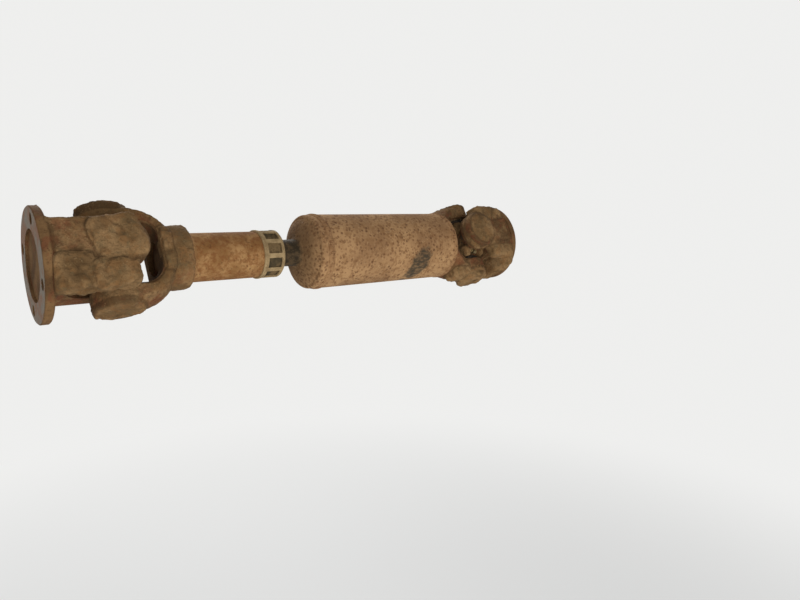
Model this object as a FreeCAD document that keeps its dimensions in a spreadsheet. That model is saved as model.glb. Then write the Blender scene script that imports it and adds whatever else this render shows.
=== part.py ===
import FreeCAD, Part
import math
import os

import Sketcher

# Telescopic propeller shaft with a universal joint at each end.
# Millimetres. +X runs along the shaft from the gearbox flange to the axle flange, +Z is up.
# The origin is the centre of the gearbox flange's bolting face.

Vector = FreeCAD.Vector
Rotation = FreeCAD.Rotation

doc = FreeCAD.newDocument("PropellerShaft")
sheet = doc.addObject("Spreadsheet::Sheet", "Sizes")

# name, value, what it is
SIZES = (
    # the line of the shaft
    ("joint_setback", 59, "bolting face of a flange to the centre of its universal joint"),
    ("flange_phase", 62, "turn of the flange yokes about the shaft, degrees from lugs up"),
    ("slip_in", 18, "how far the slip joint closes from rest"),
    ("stop_gap", 5, "neck left showing when the slip joint is closed"),
    ("slip_out", 20, "how far the slip joint opens from rest"),
    ("grip_left", 29, "spline left in the sleeve when the slip joint is open"),
    # forks and lugs, shared by the four yokes
    ("lug_radius", 21.5, "round end of a lug, about the trunnion"),
    ("lug_outer", 46.5, "joint centre to the outer face of a lug"),
    ("lug_inner", 29, "joint centre to the inner face of a lug"),
    ("lug_round", 3, "rounding of a lug's outer edge"),
    ("arm_half", 20.5, "half the width of an arm behind its lug"),
    ("arm_outer", 43.5, "joint centre to the outside of an arm"),
    ("throat", 36, "joint centre to the bottom of the fork"),
    ("throat_round", 16, "rounding of the fork's inner corners"),
    ("bell_radius", 45, "radius about the shaft to which the arms are turned"),
    ("bell_flat", 14, "joint centre to where the back of a fork starts to curve in"),
    # bearing cups and snap rings
    ("cup_radius", 17.5, "outside of a bearing cup"),
    ("cup_fit", 0.05, "radial gap between a pressed cup and its lug"),
    ("cup_outer", 43.4, "joint centre to the closed face of a cup"),
    ("cup_inner", 28, "joint centre to the open end of a cup"),
    ("cup_floor", 3, "thickness of the closed end of a cup"),
    ("clip_thick", 1.5, "snap ring thickness"),
    ("clip_width", 2.6, "snap ring width across its section"),
    ("clip_bite", 1.1, "depth of the snap ring's groove in the lug"),
    ("clip_slack", 0.1, "gap round a snap ring in its groove"),
    ("clip_gap_angle", 24, "half angle of the opening of a snap ring, degrees"),
    # crosses
    ("trunnion_radius", 11, "journal of the cross"),
    ("needle_fit", 0.05, "radial running clearance of a trunnion in its cup"),
    ("trunnion_play", 0.2, "gap between a trunnion's end and the cup floor"),
    ("shoulder_radius", 13.5, "shoulder of the cross behind a seal"),
    ("hub_half", 17.5, "half the width of the body of the cross"),
    ("hub_corner", 7.2, "bevel of the body's corners, where the nipple stands"),
    ("hub_thick", 26, "thickness of the cross along the shaft"),
    ("boss_radius", 7, "boss of the cross under its grease nipple"),
    ("boss_reach", 24.2, "joint centre to the top of that boss"),
    ("seal_radius", 16.4, "outside of a trunnion seal"),
    ("seal_long", 4.2, "length of a trunnion seal"),
    ("seal_gap", 0.3, "gap between a seal and the open end of the cup"),
    # companion flanges
    ("flange_radius", 48.5, "outside of a flange"),
    ("flange_thick", 7.5, "thickness of a flange"),
    ("base_front", 17, "radius of the flange's domed base where it starts at the fork"),
    ("base_back", 31, "radius of that base where it meets the flange"),
    ("base_arc", 24, "arc of that base"),
    ("pilot_radius", 30.2, "recess that centres the flange"),
    ("pilot_depth", 2.5, "depth of that recess"),
    ("bolt_circle", 79.4, "diameter of the bolt circle"),
    ("bolt_radius", 4.9, "radius of a bolt hole"),
    ("bolt_count", 4, "bolts in a flange"),
    # slip yoke and its sleeve, from the joint centre
    ("fork_back", 44.5, "joint centre to the end of the slip fork"),
    ("fork_back_radius", 29.5, "radius of the slip fork at that end"),
    ("fork_arc", 38, "arc of the slip fork's back"),
    ("fork_plan_half", 26, "half width of the slip fork where it meets its hub"),
    ("fork_flare", 24, "joint centre to where the slip fork's arms start to widen"),
    ("hub_radius", 28.5, "hub of the slip yoke"),
    ("hub_end", 65.5, "joint centre to the end of the hub"),
    ("sleeve_radius", 23.25, "sleeve of the slip yoke"),
    ("sleeve_end", 135.6, "joint centre to the shoulder that the dust cap meets"),
    ("spigot_radius", 20, "spigot under the dust cap"),
    ("spigot_long", 11, "length of that spigot"),
    ("guide_long", 19, "plain bore at the sleeve's mouth, which guides the bare neck"),
    ("neck_hidden", 2, "bare neck inside the dust cap's end at rest"),
    ("plug_radius", 16, "throat plug"),
    ("plug_seat", 43, "joint centre to the seat of the throat plug"),
    ("plug_thick", 1.6, "thickness of the throat plug"),
    # splines
    ("spline_tip", 14, "outside of the splined stub"),
    ("spline_root", 12, "bottom of its tooth spaces"),
    ("spline_teeth", 14, "teeth of the spline"),
    ("tooth_half", 1.45, "half width of a stub tooth"),
    ("flank_gap", 0.1, "gap beside each tooth in the sleeve"),
    ("land_gap", 0.3, "gap above and below each tooth in the sleeve"),
    # dust cap and wiper
    ("cap_radius", 24.25, "outside of the dust cap"),
    ("cap_collar_radius", 24.7, "collar of the dust cap"),
    ("cap_collar", 2.8, "length of that collar"),
    ("cap_long", 23, "length of the dust cap"),
    ("cap_wall", 2.6, "end wall of the dust cap"),
    ("cap_hole", 15.2, "hole in the dust cap round the stub"),
    ("cap_fit", 0.05, "radial gap between the dust cap and its spigot"),
    ("cap_pockets", 10, "pockets round the dust cap"),
    ("pocket_half", 5.2, "half width of a pocket"),
    ("pocket_long", 14.5, "length of a pocket"),
    ("pocket_depth", 2.4, "depth of a pocket"),
    # tube
    ("tube_radius", 40, "outside of the tube"),
    ("tube_wall", 3, "wall of the tube"),
    ("tube_long", 180.2, "length of the tube"),
    ("head_long", 12, "edge of the stub's head to the end of the tube"),
    ("head_round", 4, "rounding of the head's outer edge"),
    ("head_dome", 9, "rise of the head's face towards the neck"),
    ("head_arc", 42, "arc of that face"),
    ("neck_round", 2, "length of the step from that face to the neck"),
    ("tube_to_joint", 46, "end of the tube to the axle end joint centre"),
    ("plug_fit", 0.1, "radial gap between a tube and the plug welded into it"),
    ("plug_long", 12, "length of the plug inside the tube"),
    ("plug_wall", 7, "wall of a plug round its hollow"),
    ("plug_floor", 4, "end wall of a plug in front of its hollow"),
    ("weld_gap", 2, "root gap filled by a weld bead"),
    ("weld_half", 3.4, "half the width of a weld bead"),
    ("weld_arc", 8, "radius of a weld bead's face"),
    ("yoke_arc", 60, "arc of the tube fork's back"),
    ("yoke_flare", 18, "joint centre to where the tube fork's arms start to widen"),
    ("yoke_plan_half", 31, "half width of the tube fork at its rim"),
    ("rim_step", 0.4, "how far the tube stands over the rims that it is welded to"),
    ("rim_thick", 4, "thickness of the rim of the tube yoke"),
    # grease nipples
    ("nipple_base", 2.9, "base of a grease nipple"),
    ("nipple_neck", 2.1, "neck of a grease nipple"),
    ("nipple_head", 2.8, "head of a grease nipple"),
    ("nipple_long", 8, "length of a grease nipple"),
)

for row, (word, value, meaning) in enumerate(SIZES, start=1):
    sheet.set(f"A{row}", word)
    sheet.set(f"B{row}", str(value))
    sheet.set(f"C{row}", meaning)
    sheet.setAlias(f"B{row}", word)
doc.recompute()


def sized(text):
    """An expression in plain words, with each size's name led by the sheet's name."""
    out = []
    word = ""
    for letter in text + " ":
        if letter.isalnum() or letter == "_" or (letter == "." and word[:1].isdigit()):
            word += letter
            continue
        if word and not word[0].isdigit() and word not in ("sqrt", "sin", "cos", "tan", "deg"):
            word = "Sizes." + word
        out.append(word + letter)
        word = ""
    return "".join(out).strip()


def size(text):
    """The number that an expression stands for."""
    value = sheet.evalExpression(sized(text))
    return float(getattr(value, "Value", value))


def bind(feature, name, text):
    """Tie a property of a feature to an expression."""
    feature.setExpression(name, sized(text))


def new_body(name):
    body = doc.addObject("PartDesign::Body", name)
    body.Label = name
    return body


def new_sketch(body, name, plane):
    """An empty sketch on one of the body's own origin planes."""
    sketch = body.newObject("Sketcher::SketchObject", name)
    face = [item for item in body.Origin.OriginFeatures if item.Role == plane + "_Plane"][0]
    sketch.AttachmentSupport = [(face, "")]
    sketch.MapMode = "FlatFace"
    return sketch


def place_point(sketch, index, end, corner):
    """Hold one end of an edge at its expressions, measured from the sketch's origin."""
    for kind, text, axis in (("DistanceX", corner[0], -2), ("DistanceY", corner[1], -1)):
        value = size(text)
        if abs(value) < 1e-9:
            sketch.addConstraint(Sketcher.Constraint("PointOnObject", index, end, axis))
            continue
        number = sketch.addConstraint(Sketcher.Constraint(kind, -1, 1, index, end, value))
        bind(sketch, f"Constraints[{number}]", text)


def arc_edge(start, stop, radius):
    """An arc between two points; a positive radius turns left, a negative one right."""
    chord = stop - start
    middle = (start + stop) * 0.5
    side = Vector(-chord.y, chord.x, 0).normalize()
    rise = math.sqrt(max(radius * radius - chord.Length ** 2 / 4, 0))
    centre = middle + side * math.copysign(rise, radius)
    first, last = (start, stop) if radius > 0 else (stop, start)
    circle = Part.Circle(centre, Vector(0, 0, 1), abs(radius))
    turn_first = math.atan2(first.y - centre.y, first.x - centre.x)
    turn_last = math.atan2(last.y - centre.y, last.x - centre.x)
    return Part.ArcOfCircle(circle, turn_first, turn_last)


def outline(sketch, corners):
    """A closed outline. Each corner is x, y and, where an arc leads on from it, its radius."""
    points = [Vector(size(corner[0]), size(corner[1]), 0) for corner in corners]
    ends = []
    for here, corner in enumerate(corners):
        there = (here + 1) % len(corners)
        if len(corner) < 3:
            index = sketch.addGeometry(Part.LineSegment(points[here], points[there]), False)
            ends.append((index, 1, 2))
            continue
        radius = size(corner[2])
        index = sketch.addGeometry(arc_edge(points[here], points[there], radius), False)
        number = sketch.addConstraint(Sketcher.Constraint("Radius", index, abs(radius)))
        bind(sketch, f"Constraints[{number}]", corner[2].lstrip("-"))
        ends.append((index, 1, 2) if radius > 0 else (index, 2, 1))
    for here, corner in enumerate(corners):
        before = ends[here - 1]
        after = ends[here]
        sketch.addConstraint(Sketcher.Constraint("Coincident", before[0], before[2], after[0], after[1]))
        place_point(sketch, after[0], after[1], corner)


def box_outline(sketch, low_x, low_y, high_x, high_y):
    outline(sketch, [(low_x, low_y), (high_x, low_y), (high_x, high_y), (low_x, high_y)])


def ring(sketch, radius, x="0", y="0"):
    """A circle whose centre and radius are expressions."""
    centre = Vector(size(x), size(y), 0)
    index = sketch.addGeometry(Part.Circle(centre, Vector(0, 0, 1), size(radius)), False)
    number = sketch.addConstraint(Sketcher.Constraint("Radius", index, size(radius)))
    bind(sketch, f"Constraints[{number}]", radius)
    place_point(sketch, index, 3, (x, y))


def pad(body, sketch, length, symmetric=False, name="Pad"):
    feature = body.newObject("PartDesign::Pad", name)
    feature.Profile = sketch
    feature.SideType = "Symmetric" if symmetric else "One side"
    bind(feature, "Length", length)
    return feature


def cut_through(body, sketch, name="Cut"):
    """A pocket through the whole body, both ways from its sketch."""
    feature = body.newObject("PartDesign::Pocket", name)
    feature.Profile = sketch
    feature.SideType = "Symmetric"
    feature.Type = "ThroughAll"
    return feature


def turn(body, sketch, axis, kind="Revolution"):
    """A full turn of a sketch about its own H_Axis or V_Axis, added or, as a Groove, cut."""
    feature = body.newObject("PartDesign::" + kind, kind)
    feature.Profile = sketch
    feature.ReferenceAxis = (sketch, [axis])
    feature.Angle = 360
    return feature


def around(body, feature, count, role):
    """Repeat a feature round one of the body's axes."""
    pattern = body.newObject("PartDesign::PolarPattern", "Around")
    pattern.Originals = [feature]
    axis = [item for item in body.Origin.OriginFeatures if item.Role == role + "_Axis"][0]
    pattern.Axis = (axis, [""])
    pattern.Angle = 360
    bind(pattern, "Occurrences", count)
    body.Tip = pattern
    return pattern


def seat(piece, x, turn_x="0", flip=False, tilt="0"):
    """Place a piece on the shaft's line at x, turned about the shaft, and end for end if flip is set."""
    about = Rotation(Vector(1, 0, 0), size(turn_x))
    ends = Rotation(Vector(0, 0, 1), 180 if flip else 0)
    lean = Rotation(Vector(1, 0, 0), size(tilt))
    piece.Placement = FreeCAD.Placement(Vector(size(x), 0, 0), about * ends * lean)
    bind(piece, "Placement.Base.x", x)
    return piece


GEARBOX_JOINT = "joint_setback"
HEAD_LONG = "head_long + head_dome + neck_round"
TUBE_START = "joint_setback + sleeve_end + cap_long + slip_in + stop_gap + " + HEAD_LONG
TUBE_END = TUBE_START + " + tube_long"
AXLE_JOINT = TUBE_END + " + tube_to_joint"
SLIP_PHASE = "flange_phase - 90"
FLANGE_BACK = "joint_setback - flange_thick"
SHOULDER_REACH = "cup_inner - seal_gap - seal_long"
SPLINE_MOUTH = "sleeve_end + spigot_long - guide_long"
NECK_LONG = HEAD_LONG + " + stop_gap + slip_in + neck_hidden"
STUB_LONG = HEAD_LONG + " + stop_gap + slip_in + cap_long - spigot_long + guide_long + slip_out + grip_left"
RIM = "tube_radius - rim_step"


def fork_bores(body):
    """The cup bores through both lugs, with a snap ring groove near each outer face."""
    bore = new_sketch(body, "CupBore", "XY")
    ring(bore, "cup_radius + cup_fit")
    cut_through(body, bore)
    groove = new_sketch(body, "ClipGroove", "XZ")
    inside = "cup_radius - clip_bite"
    outside = "cup_radius + clip_bite"
    low = "cup_outer"
    high = "cup_outer + clip_thick + 2 * clip_slack"
    box_outline(groove, inside, low, outside, high)
    box_outline(groove, inside, "-(" + high + ")", outside, "-" + low)
    turn(body, groove, "V_Axis", "Groove")


def lugs(body):
    """The two round lugs at the ends of a fork's arms."""
    section = new_sketch(body, "Lugs", "XZ")
    outline(section, [
        ("0", "lug_inner"),
        ("lug_radius", "lug_inner"),
        ("lug_radius", "lug_outer - lug_round", "lug_round"),
        ("lug_radius - lug_round", "lug_outer"),
        ("0", "lug_outer"),
    ])
    outline(section, [
        ("0", "-lug_inner"),
        ("0", "-lug_outer"),
        ("lug_radius - lug_round", "-lug_outer", "lug_round"),
        ("lug_radius", "-(lug_outer - lug_round)"),
        ("lug_radius", "-lug_inner"),
    ])
    turn(body, section, "V_Axis")


def arms(body, back, plan_half):
    """A plain fork: two arms as wide as 2 * plan_half round a throat with rounded corners."""
    side = new_sketch(body, "Side", "XZ")
    outline(side, [
        ("0", "-arm_outer"),
        (back, "-arm_outer"),
        (back, "arm_outer"),
        ("0", "arm_outer"),
        ("0", "lug_inner"),
        ("throat - throat_round", "lug_inner", "-throat_round"),
        ("throat", "lug_inner - throat_round"),
        ("throat", "-(lug_inner - throat_round)", "-throat_round"),
        ("throat - throat_round", "-lug_inner"),
        ("0", "-lug_inner"),
    ])
    pad(body, side, f"2 * ({plan_half})", symmetric=True)


def bell_fork(body, back, back_radius, arc, plan_half, flare):
    """A fork whose back is turned to a bell and whose arms widen from flare towards it."""
    arms(body, back, plan_half)
    waist = new_sketch(body, "Waist", "XY")
    outline(waist, [
        ("-lug_radius", "arm_half"),
        (flare, "arm_half"),
        (back, plan_half),
        (back, "2 * tube_radius"),
        ("-lug_radius", "2 * tube_radius"),
    ])
    outline(waist, [
        ("-lug_radius", "-arm_half"),
        ("-lug_radius", "-2 * tube_radius"),
        (back, "-2 * tube_radius"),
        (back, "-" + plan_half),
        (flare, "-arm_half"),
    ])
    cut_through(body, waist)
    bell = new_sketch(body, "Bell", "XZ")
    outline(bell, [
        ("-lug_radius", "bell_radius"),
        ("bell_flat", "bell_radius", "-" + arc),
        (back, back_radius),
        (back, "2 * tube_radius"),
        ("-lug_radius", "2 * tube_radius"),
    ])
    turn(body, bell, "H_Axis", "Groove")
    lugs(body)


def flange_yoke(name):
    """A companion flange with a fork: bolting face at +joint_setback, joint centre at the origin."""
    body = new_body(name)
    arms(body, FLANGE_BACK, "arm_half")
    lugs(body)
    disc = new_sketch(body, "Disc", "XZ")
    outline(disc, [
        ("throat + 1", "0"),
        ("joint_setback - pilot_depth", "0"),
        ("joint_setback - pilot_depth", "pilot_radius"),
        ("joint_setback", "pilot_radius"),
        ("joint_setback", "flange_radius - 1"),
        ("joint_setback - 1", "flange_radius"),
        (FLANGE_BACK + " + 1", "flange_radius"),
        (FLANGE_BACK, "flange_radius - 1"),
        (FLANGE_BACK, "base_back", "base_arc"),
        ("throat + 1", "base_front"),
    ])
    turn(body, disc, "H_Axis")
    fork_bores(body)
    hole = new_sketch(body, "BoltHole", "YZ")
    ring(hole, "bolt_radius", "bolt_circle / 2 * sqrt(0.5)", "bolt_circle / 2 * sqrt(0.5)")
    holes = cut_through(body, hole, "BoltHoleCut")
    around(body, holes, "bolt_count", "X")
    return body


def slip_yoke(name):
    """A fork, hub and long sleeve with internal splines and a seat for the throat plug."""
    body = new_body(name)
    bell_fork(body, "fork_back", "fork_back_radius", "fork_arc", "fork_plan_half", "fork_flare")
    sleeve = new_sketch(body, "Sleeve", "XZ")
    outline(sleeve, [
        ("fork_back", "0"),
        ("sleeve_end + spigot_long", "0"),
        ("sleeve_end + spigot_long", "spigot_radius - 1"),
        ("sleeve_end + spigot_long - 1", "spigot_radius"),
        ("sleeve_end", "spigot_radius"),
        ("sleeve_end", "sleeve_radius"),
        ("hub_end + 3", "sleeve_radius"),
        ("hub_end", "sleeve_radius + 1.5"),
        ("hub_end", "hub_radius - 1.5"),
        ("hub_end - 1.5", "hub_radius"),
        ("fork_back", "hub_radius"),
    ])
    turn(body, sleeve, "H_Axis")
    fork_bores(body)
    bore = new_sketch(body, "Bore", "XZ")
    outline(bore, [
        ("throat - lug_inner / 2", "0"),
        ("sleeve_end + spigot_long + 1", "0"),
        ("sleeve_end + spigot_long + 1", "spline_tip + land_gap"),
        (SPLINE_MOUTH, "spline_tip + land_gap"),
        (SPLINE_MOUTH, "spline_root + land_gap"),
        ("plug_seat", "spline_root + land_gap"),
        ("plug_seat", "plug_radius"),
        ("throat - lug_inner / 2", "plug_radius"),
    ])
    turn(body, bore, "H_Axis", "Groove")
    space = new_sketch(body, "ToothSpace", "YZ")
    box_outline(space, "-(tooth_half + flank_gap)", "spline_root / 2", "tooth_half + flank_gap",
                "spline_tip + land_gap")
    cut = body.newObject("PartDesign::Pocket", "ToothSpaceCut")
    cut.Profile = space
    cut.SideType = "One side"
    cut.Reversed = True
    bind(cut, "Length", SPLINE_MOUTH)
    around(body, cut, "spline_teeth", "X")
    return body


def tube_yoke(name):
    """A fork on a round rim and a hollow plug that goes into the tube, with the joint at the origin."""
    body = new_body(name)
    rim_front = "tube_to_joint - weld_gap / 2 - rim_thick"
    bell_fork(body, rim_front, RIM, "yoke_arc", "yoke_plan_half", "yoke_flare")
    rim = new_sketch(body, "Rim", "XZ")
    outline(rim, [
        (rim_front, "0"),
        (rim_front + " + rim_thick + plug_floor", "0"),
        (rim_front + " + rim_thick + plug_floor", "tube_radius - tube_wall - plug_wall"),
        ("tube_to_joint + plug_long", "tube_radius - tube_wall - plug_wall"),
        ("tube_to_joint + plug_long", "tube_radius - tube_wall - plug_fit"),
        (rim_front + " + rim_thick", "tube_radius - tube_wall - plug_fit"),
        (rim_front + " + rim_thick", RIM),
        (rim_front + " + 2", RIM),
        (rim_front, RIM + " - 2"),
    ])
    turn(body, rim, "H_Axis")
    fork_bores(body)
    return body


def cup(name):
    """A bearing cup, open towards the joint's centre, along +Z."""
    body = new_body(name)
    section = new_sketch(body, "Section", "XZ")
    outline(section, [
        ("0", "cup_outer - cup_floor"),
        ("trunnion_radius + needle_fit", "cup_outer - cup_floor"),
        ("trunnion_radius + needle_fit", "cup_inner + 1"),
        ("trunnion_radius + needle_fit + 1", "cup_inner"),
        ("cup_radius - 0.6", "cup_inner"),
        ("cup_radius", "cup_inner + 0.6"),
        ("cup_radius", "cup_outer - 1"),
        ("cup_radius - 1", "cup_outer"),
        ("0", "cup_outer"),
    ])
    turn(body, section, "V_Axis")
    return body


def snap_ring(name):
    """An open ring that fills the lug's groove over a cup, along +Z."""
    body = new_body(name)
    outer = "cup_radius + clip_bite - clip_slack"
    inner = outer + " - clip_width"
    flat = new_sketch(body, "Flat", "XY")
    outline(flat, [
        (f"({outer}) * cos(clip_gap_angle * 1 deg)", f"({outer}) * sin(clip_gap_angle * 1 deg)", outer),
        (f"-({outer})", "0", outer),
        (f"({outer}) * cos(clip_gap_angle * 1 deg)", f"-({outer}) * sin(clip_gap_angle * 1 deg)"),
        (f"({inner}) * cos(clip_gap_angle * 1 deg)", f"-({inner}) * sin(clip_gap_angle * 1 deg)",
         f"-({inner})"),
        (f"-({inner})", "0", f"-({inner})"),
        (f"({inner}) * cos(clip_gap_angle * 1 deg)", f"({inner}) * sin(clip_gap_angle * 1 deg)"),
    ])
    pad(body, flat, "clip_thick", name="RingPad")
    return body


def build_cross(name):
    """Four trunnions on a bevelled body: trunnions along Y and Z, the shaft's line along X."""
    body = new_body(name)
    tip = "cup_outer - cup_floor - trunnion_play"
    for plane in ("XZ", "XY"):
        section = new_sketch(body, "Trunnions" + plane, plane)
        outline(section, [
            ("0", f"-({tip})"),
            ("trunnion_radius - 1", f"-({tip})"),
            ("trunnion_radius", f"-({tip} - 1)"),
            ("trunnion_radius", f"-({SHOULDER_REACH})"),
            ("shoulder_radius", f"-({SHOULDER_REACH})"),
            ("shoulder_radius", SHOULDER_REACH),
            ("trunnion_radius", SHOULDER_REACH),
            ("trunnion_radius", tip + " - 1"),
            ("trunnion_radius - 1", tip),
            ("0", tip),
        ])
        turn(body, section, "V_Axis")
    centre = new_sketch(body, "Centre", "YZ")
    near = "hub_half - hub_corner / 2"
    outline(centre, [
        (f"-({near})", "-hub_half"), (near, "-hub_half"),
        ("hub_half", f"-({near})"), ("hub_half", near),
        (near, "hub_half"), (f"-({near})", "hub_half"),
        ("-hub_half", near), ("-hub_half", f"-({near})"),
    ])
    pad(body, centre, "hub_thick", symmetric=True)
    boss = new_sketch(body, "Boss", "XZ")
    boss.AttachmentOffset = FreeCAD.Placement(Vector(0, 0, 0), Rotation(Vector(1, 0, 0), 45))
    box_outline(boss, "0", "0", "boss_radius", "boss_reach")
    turn(body, boss, "V_Axis")
    return body


def seal_ring(name):
    """A trunnion seal between the shoulder of the cross and the open end of a cup, along +Z."""
    body = new_body(name)
    section = new_sketch(body, "Section", "XZ")
    top = "cup_inner - seal_gap"
    outline(section, [
        ("trunnion_radius + needle_fit", SHOULDER_REACH),
        ("seal_radius - 1", SHOULDER_REACH),
        ("seal_radius", SHOULDER_REACH + " + 1"),
        ("seal_radius", top + " - 0.5"),
        ("seal_radius - 0.5", top),
        ("trunnion_radius + needle_fit", top),
    ])
    turn(body, section, "V_Axis")
    return body


def nipple(name):
    """A grease nipple along +Z: base, neck and round head, its foot at the origin."""
    body = new_body(name)
    section = new_sketch(body, "Section", "XZ")
    outline(section, [
        ("0", "0"),
        ("nipple_base", "0"),
        ("nipple_base", "nipple_long * 0.35"),
        ("nipple_neck", "nipple_long * 0.45"),
        ("nipple_neck", "nipple_long * 0.6"),
        ("nipple_head", "nipple_long * 0.72"),
        ("nipple_head", "nipple_long * 0.85"),
        ("nipple_head * 0.5", "nipple_long"),
        ("0", "nipple_long"),
    ])
    turn(body, section, "V_Axis")
    return body


def stand(piece, x, turn_x, reach):
    """Place a piece that points along its own +Z: out from the shaft's line by reach, turned about it."""
    out = Rotation(Vector(1, 0, 0), size(turn_x))
    piece.Placement = FreeCAD.Placement(Vector(size(x), 0, 0) + out.multVec(Vector(0, 0, size(reach))), out)
    bind(piece, "Placement.Base.x", x)
    return piece


def joint_ends(stem, x, phase):
    """The two cups and two snap rings of one yoke."""
    for where, half_turn in (("up", "0"), ("down", "180")):
        seat(cup(f"{stem}_cup_{where}"), x, f"{phase} + {half_turn}")
        clip = snap_ring(f"{stem}_clip_{where}")
        stand(clip, x, f"{phase} + {half_turn}", "cup_outer + clip_slack")


def cross_set(stem, x):
    """A cross, its four seals as one node, and its grease nipple between two trunnions."""
    seat(build_cross(stem), x, "flange_phase")
    seals = []
    for number in range(4):
        seal = seal_ring(f"{stem}_seal_part_{number}")
        seal.Placement = FreeCAD.Placement(Vector(0, 0, 0), Rotation(Vector(1, 0, 0), 90 * number))
        seals.append(seal)
    group = doc.addObject("Part::Compound", f"{stem}_seals")
    group.Label = f"{stem}_seals"
    group.Links = seals
    seat(group, x, "flange_phase")
    stand(nipple(f"{stem}_nipple"), x, "flange_phase + 45", "boss_reach")
    return seals


def splined_stub(name):
    """The sliding half: splines, bare neck, round head and hollow plug, the tube's end at the origin."""
    body = new_body(name)
    section = new_sketch(body, "Section", "XZ")
    plug_outer = "tube_radius - tube_wall - plug_fit"
    outline(section, [
        (f"-({STUB_LONG})", "0"),
        ("plug_floor", "0"),
        ("plug_floor", "tube_radius - tube_wall - plug_wall"),
        ("plug_long", "tube_radius - tube_wall - plug_wall"),
        ("plug_long", plug_outer),
        ("-weld_gap / 2", plug_outer),
        ("-weld_gap / 2", RIM),
        ("head_round - head_long", RIM, "head_round"),
        ("-head_long", RIM + " - head_round", "head_arc"),
        ("-(head_long + head_dome)", "spline_tip + 3"),
        (f"-({HEAD_LONG})", "spline_tip"),
        (f"-({NECK_LONG})", "spline_tip"),
        (f"-({NECK_LONG})", "spline_root"),
        (f"1.5 - ({STUB_LONG})", "spline_root"),
        (f"-({STUB_LONG})", "spline_root - 1.5"),
    ])
    turn(body, section, "H_Axis")
    tooth = new_sketch(body, "Tooth", "YZ")
    box_outline(tooth, "-tooth_half", "spline_root / 2", "tooth_half", "spline_tip")
    tooth.setExpression("AttachmentOffset.Base.z", sized(f"1.5 - ({STUB_LONG})"))
    teeth = pad(body, tooth, f"{STUB_LONG} - 1.5 - ({NECK_LONG}) + 1", name="ToothPad")
    around(body, teeth, "spline_teeth", "X")
    return body


def hollow_tube(name):
    """The round tube, from the root gap of one weld to the root gap of the other."""
    body = new_body(name)
    section = new_sketch(body, "Section", "XZ")
    box_outline(section, "weld_gap / 2", "tube_radius - tube_wall", "tube_long - weld_gap / 2", "tube_radius")
    turn(body, section, "H_Axis")
    return body


def weld_bead(name):
    """A bead that fills the root gap between a tube and its plug's rim, proud of both."""
    body = new_body(name)
    section = new_sketch(body, "Section", "XZ")
    outline(section, [
        ("-weld_gap / 2", "tube_radius - tube_wall"),
        ("weld_gap / 2", "tube_radius - tube_wall"),
        ("weld_gap / 2", "tube_radius"),
        ("weld_half", "tube_radius", "weld_arc"),
        ("-weld_half", RIM),
        ("-weld_gap / 2", RIM),
    ])
    turn(body, section, "H_Axis")
    return body


def throat_plug(name):
    """The pressed disc that closes the sleeve at the bottom of the fork, domed towards the cross."""
    body = new_body(name)
    section = new_sketch(body, "Section", "XZ")
    outline(section, [
        ("plug_seat", "0"),
        ("plug_seat", "plug_radius - cup_fit"),
        ("plug_seat - plug_thick", "plug_radius - cup_fit"),
        ("plug_seat - 2 * plug_thick", "plug_radius / 2"),
        ("plug_seat - 2 * plug_thick", "0"),
    ])
    turn(body, section, "H_Axis")
    return body


def dust_cap(name):
    """The ribbed cap on the sleeve's spigot, from the sleeve's shoulder at the origin to its end wall."""
    body = new_body(name)
    section = new_sketch(body, "Section", "XZ")
    inner = "spigot_radius + cap_fit"
    outline(section, [
        ("0", inner),
        ("cap_long - cap_wall", inner),
        ("cap_long - cap_wall", "cap_hole"),
        ("cap_long", "cap_hole"),
        ("cap_long", "cap_radius - 1"),
        ("cap_long - 1", "cap_radius"),
        ("cap_collar", "cap_radius"),
        ("cap_collar - 0.5", "cap_collar_radius"),
        ("0.5", "cap_collar_radius"),
        ("0", "cap_collar_radius - 0.5"),
    ])
    turn(body, section, "H_Axis")
    pocket = new_sketch(body, "Pocket", "XZ")
    front = "cap_collar + 2"
    box_outline(pocket, front, "cap_radius - pocket_depth", front + " + pocket_long", "cap_radius * 1.2")
    cut = body.newObject("PartDesign::Pocket", "PocketCut")
    cut.Profile = pocket
    cut.SideType = "Symmetric"
    bind(cut, "Length", "2 * pocket_half")
    around(body, cut, "cap_pockets", "X")
    return body


def wiper_seal(name):
    """The seal between the spigot's end and the cap's end wall, from the spigot's end at the origin."""
    body = new_body(name)
    section = new_sketch(body, "Section", "XZ")
    space = "cap_long - cap_wall - spigot_long"
    outline(section, [
        ("cap_fit", "spigot_radius - cap_fit"),
        ("cap_fit", "spline_tip + 2"),
        ("cap_fit + 2", "spline_tip + land_gap"),
        (f"{space} - cap_fit", "spline_tip + land_gap"),
        (f"{space} - cap_fit", "spigot_radius - cap_fit"),
    ])
    turn(body, section, "H_Axis")
    return body


joint_ends("gearbox_flange", GEARBOX_JOINT, "flange_phase")
seat(flange_yoke("gearbox_flange_yoke"), GEARBOX_JOINT, "flange_phase", flip=True)
spare = cross_set("gearbox_cross", GEARBOX_JOINT)

joint_ends("slip_yoke", GEARBOX_JOINT, SLIP_PHASE)
seat(slip_yoke("slip_yoke"), GEARBOX_JOINT, SLIP_PHASE)
seat(throat_plug("throat_plug"), GEARBOX_JOINT)
seat(dust_cap("dust_cap"), "joint_setback + sleeve_end")
seat(wiper_seal("wiper_seal"), "joint_setback + sleeve_end + spigot_long")
stand(nipple("sleeve_nipple"), "joint_setback + (fork_back + hub_end) / 2", SLIP_PHASE + " - 90",
      "hub_radius")

seat(splined_stub("splined_stub"), TUBE_START, SLIP_PHASE)
seat(hollow_tube("tube"), TUBE_START)
seat(weld_bead("stub_weld"), TUBE_START)
seat(weld_bead("yoke_weld"), TUBE_END, flip=True)
seat(tube_yoke("tube_yoke"), AXLE_JOINT, SLIP_PHASE, flip=True)
joint_ends("tube_yoke", AXLE_JOINT, SLIP_PHASE)

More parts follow.
